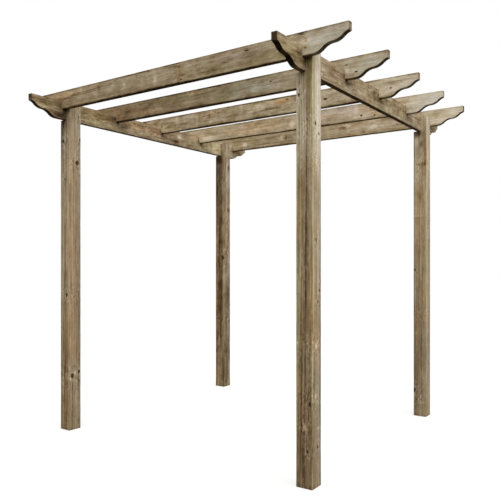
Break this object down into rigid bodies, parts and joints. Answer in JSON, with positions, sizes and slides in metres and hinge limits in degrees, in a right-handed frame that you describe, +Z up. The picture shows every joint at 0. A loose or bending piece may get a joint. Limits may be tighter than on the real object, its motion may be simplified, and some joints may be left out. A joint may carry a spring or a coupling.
{
  "type": "wooden garden pergola",
  "caption": "Free-standing open timber pergola: square posts with half-lapped heads carry side beams, and evenly spaced notched rafters with double-scalloped tails cross above.",
  "frame": {"origin": "on the ground, under the centre of the frame's bounding box", "axes": "+X along the rafters, +Y along the side beams towards the back, +Z up"},
  "size_m": [2.413, 2.39, 2.304],
  "materials": {
    "post_timber": "planed, pressure treated, weathered",
    "beam_timber": "planed, pressure treated, weathered",
    "rafter_timber": "planed, pressure treated, weathered"
  },
  "bodies": {
    "root": {"post_left_front": "post_timber", "post_left_back": "post_timber", "post_right_front": "post_timber", "post_right_back": "post_timber", "beam_left": "beam_timber", "beam_right": "beam_timber", "rafter_1": "rafter_timber", "rafter_2": "rafter_timber", "rafter_3": "rafter_timber", "rafter_4": "rafter_timber", "rafter_5": "rafter_timber"}
  },
  "joints": []
}
